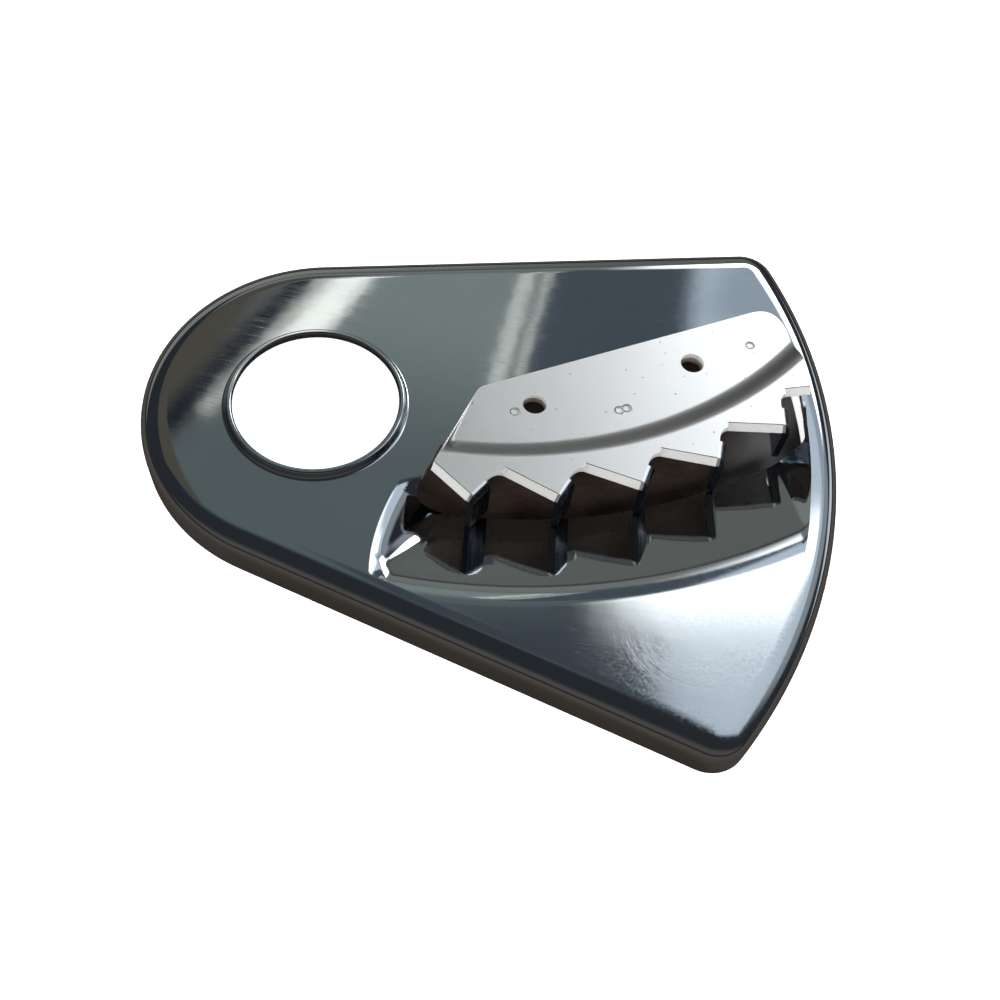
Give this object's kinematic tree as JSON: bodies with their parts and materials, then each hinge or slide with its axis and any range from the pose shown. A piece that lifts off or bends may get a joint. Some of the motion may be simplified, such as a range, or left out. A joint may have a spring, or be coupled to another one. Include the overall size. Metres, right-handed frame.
{
  "type": "food cutter sector plate",
  "caption": "Sector-shaped pressed steel cutting plate with a lipped hub hole, a feed ramp, a curved slot and a welded saw-toothed strip blade.",
  "frame": {"origin": "middle of the plate's length and width, on the plane of the skirt's lower edge", "axes": "+X from the hub hole towards the wide end, +Y towards the blade's straight heel edge, +Z out of the plate's top face"},
  "size_m": [0.0892, 0.0758, 0.0086],
  "materials": {
    "polished_sheet": "polished stainless steel with a fine grain",
    "ground_blade": "satin stainless steel, ground along the teeth",
    "weld_nugget": "dull, straw-tinted by heat"
  },
  "bodies": {
    "root": {"cutting_plate": "polished_sheet", "toothed_blade": "ground_blade", "spot_weld_inner": "weld_nugget", "spot_weld_middle": "weld_nugget", "spot_weld_outer": "weld_nugget"}
  },
  "joints": []
}
